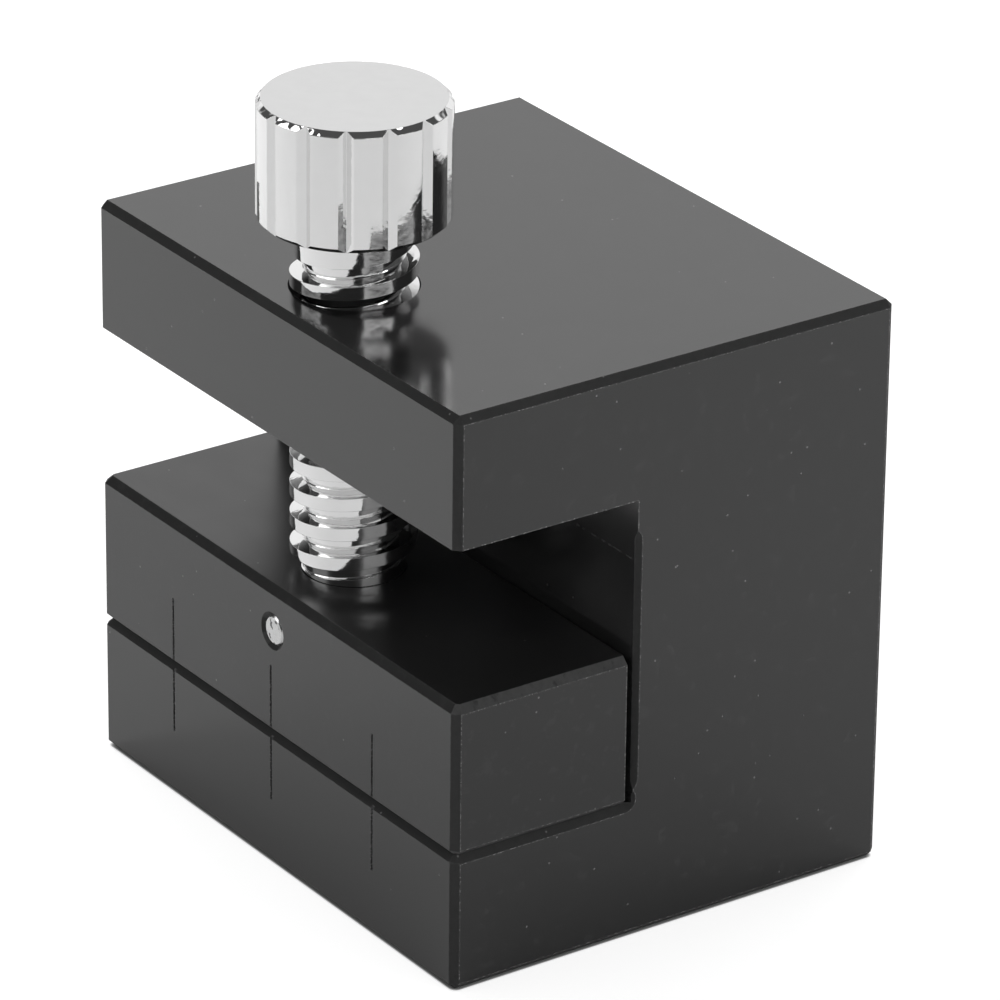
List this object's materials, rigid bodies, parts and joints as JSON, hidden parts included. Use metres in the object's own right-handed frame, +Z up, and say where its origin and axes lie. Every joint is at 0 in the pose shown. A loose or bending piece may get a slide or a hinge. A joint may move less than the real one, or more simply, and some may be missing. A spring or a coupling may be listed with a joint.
{
  "type": "watch band holder",
  "caption": "C-shaped metal block with a sliding jaw that a fluted knob screw presses onto a watch band in the slot.",
  "frame": {"origin": "middle of the block's underside", "axes": "+Z up along the screw, -Y towards the open front of the slot, X along the slot"},
  "size_m": [0.0398, 0.032, 0.0503],
  "materials": {
    "anodised_black": "satin black anodised over a fine milled surface",
    "plated_screw": "bright nickel-chrome plate over turned steel",
    "pin_steel": "cut end of a steel pin"
  },
  "bodies": {
    "frame": {"frame": "anodised_black"},
    "jaw": {"jaw": "anodised_black", "retaining_pin": "pin_steel"},
    "screw": {"clamp_screw": "plated_screw"}
  },
  "joints": [
    {"name": "jaw_slide", "type": "slide", "parent": "frame", "child": "jaw", "axis": [0, 0, 1], "range_m": [0, 0.01]},
    {"name": "screw_turn", "type": "hinge", "parent": "jaw", "child": "screw", "pos_m": [0, -0.01005, 0.01915], "axis": [0, 0, 1], "range_deg": [0, 1850]}
  ],
  "couplings": [
    {"joint": "screw_turn", "follows": "jaw_slide", "rad_per_m": 3141.6}
  ]
}
